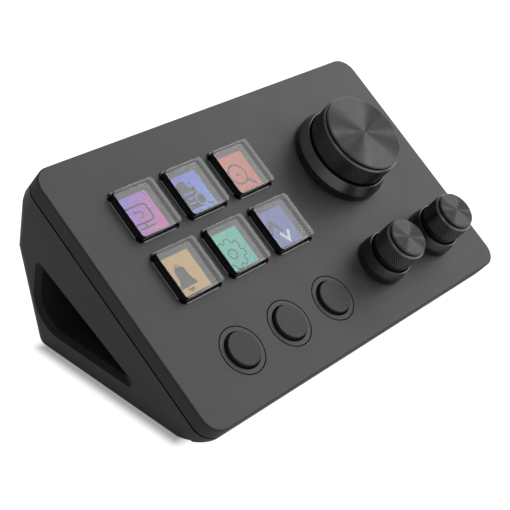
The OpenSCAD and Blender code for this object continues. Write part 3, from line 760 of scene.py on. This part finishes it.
# ---------------------------------------------------------------- stage, light and camera
# The camera's place in millimetres and its turn in degrees.
CAMERA_AT = (-268.57, -177.96, 210.89)
CAMERA_TURN = (58.142, -8.858, -49.994)
CAMERA_LENS, CAMERA_SENSOR = 93.61, 36

# The floor's own light starts to fall GLOW_FAR millimetres outside the keypad's footprint, and
# would be at its lowest at GLOW_NEAR, which lies inside it; the fall is a painted contact shadow.
GLOW_NEAR, GLOW_FAR = -1.0, 4.0
PAINTED_SHADOW_GLOW, GLOW_HIGH = 0.2, 0.97
FOOT_INSET = 2.5  # how far the footprint reaches past the feet, in front and behind
HORIZON_LIGHT, ZENITH_LIGHT = 0.45, 0.36

# From here on in metres.
CLIP_START = 0.01
FLOOR_SIZE = 6.0
LAMP_FAR = 1.5
LAMPS = {
    "softbox": {"way": (0.78, -0.12, 0.61), "size": (3.2, 0.85), "radiance": 2.5},
    "overhead": {"way": (0.265, -0.135, 0.955), "size": (0.10, 0.25), "radiance": 45.0},
    "front_lamp": {"way": (0.435, -0.632, 0.641), "size": (0.2, 0.2), "radiance": 22.0},
    "left_lamp": {"way": (-0.62, -0.35, 0.70), "size": (0.4, 0.4), "radiance": 4.5}}


def add_lamp(name, way, size, radiance):
    """Rectangular lamp that faces the keypad; its first side lies level."""
    lamp = bpy.data.lights.new(name, "AREA")
    lamp.shape = "RECTANGLE"
    lamp.size, lamp.size_y = size
    lamp.energy = radiance * math.pi * size[0] * size[1]
    way = Vector(way).normalized()
    side = Vector((0, 0, 1)).cross(way).normalized()
    up = way.cross(side)
    turn = Matrix((side, up, way)).transposed().to_4x4()
    in_scene(name, lamp).matrix_world = Matrix.Translation(way * LAMP_FAR) @ turn


def floor_glow_painted_shadow(nodes):
    """Light of the table, which fades near the keypad's footprint as a painted contact shadow."""
    low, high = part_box("rubber_feet")
    low.x, high.x = cad_box[0][0], cad_box[1][0]
    low.y, high.y = low.y - FOOT_INSET * MM, high.y + FOOT_INSET * MM
    ground = nodes.add("SeparateXYZ", {"Vector": nodes.place()})
    beyond = []
    for axis, name in enumerate("XY"):
        middle, half = (low[axis] + high[axis]) / 2, (high[axis] - low[axis]) / 2
        away = nodes.math("ABSOLUTE", nodes.math("SUBTRACT", ground.outputs[name], middle))
        beyond.append(nodes.math("MAXIMUM", nodes.math("SUBTRACT", away, half), 0.0))
    squares = [nodes.math("POWER", side, 2.0) for side in beyond]
    far = nodes.math("SQRT", nodes.math("ADD", *squares))
    return nodes.ramp(far, GLOW_NEAR * MM, GLOW_FAR * MM, PAINTED_SHADOW_GLOW, GLOW_HIGH,
                      interpolation_type="SMOOTHSTEP")


def build_floor():
    half = FLOOR_SIZE / 2
    corners = [(-half, -half, 0), (half, -half, 0), (half, half, 0), (-half, half, 0)]
    mesh = bpy.data.meshes.new("floor")
    mesh.from_pydata(corners, [], [(0, 1, 2, 3)])
    nodes = Nodes("pale_floor")
    grey = nodes.mix(nodes.noise(size=300.0), (0.24, 0.24, 0.24, 1), (0.26, 0.26, 0.26, 1))
    nodes.set(Base_Color=grey, Roughness=0.9, Emission_Color=WHITE, Emission_Strength=floor_glow_painted_shadow(nodes))
    mesh.materials.append(nodes.material)
    floor = in_scene("floor", mesh)


def build_world():
    """Soft light from all round, a little weaker from above."""
    world = bpy.data.worlds.new("studio")
    bpy.context.scene.world = world
    world.use_nodes = True
    tree = world.node_tree
    way = tree.nodes.new("ShaderNodeTexCoord")
    split = tree.nodes.new("ShaderNodeSeparateXYZ")
    ramp = tree.nodes.new("ShaderNodeMapRange")
    background = tree.nodes["Background"]
    ramp.inputs["From Min"].default_value = 0.0
    ramp.inputs["From Max"].default_value = 1.0
    ramp.inputs["To Min"].default_value = HORIZON_LIGHT
    ramp.inputs["To Max"].default_value = ZENITH_LIGHT
    background.inputs["Color"].default_value = WHITE
    tree.links.new(way.outputs["Generated"], split.inputs[0])
    tree.links.new(split.outputs["Z"], ramp.inputs["Value"])
    tree.links.new(ramp.outputs[0], background.inputs["Strength"])


def build_camera():
    camera = bpy.data.cameras.new("camera")
    camera.lens = CAMERA_LENS
    camera.sensor_width = CAMERA_SENSOR
    camera.clip_start = CLIP_START
    obj = in_scene("camera", camera)
    obj.location = Vector(CAMERA_AT) * MM
    obj.rotation_euler = [math.radians(a) for a in CAMERA_TURN]
    bpy.context.scene.camera = obj
    bpy.context.scene.view_settings.view_transform = "Standard"


# ---------------------------------------------------------------- build
dress_nodes()
dress_keys()
dress_seams()
dress_grips()
build_floor()
build_world()
for lamp_name, lamp in LAMPS.items():
    add_lamp(lamp_name, **lamp)
build_camera()
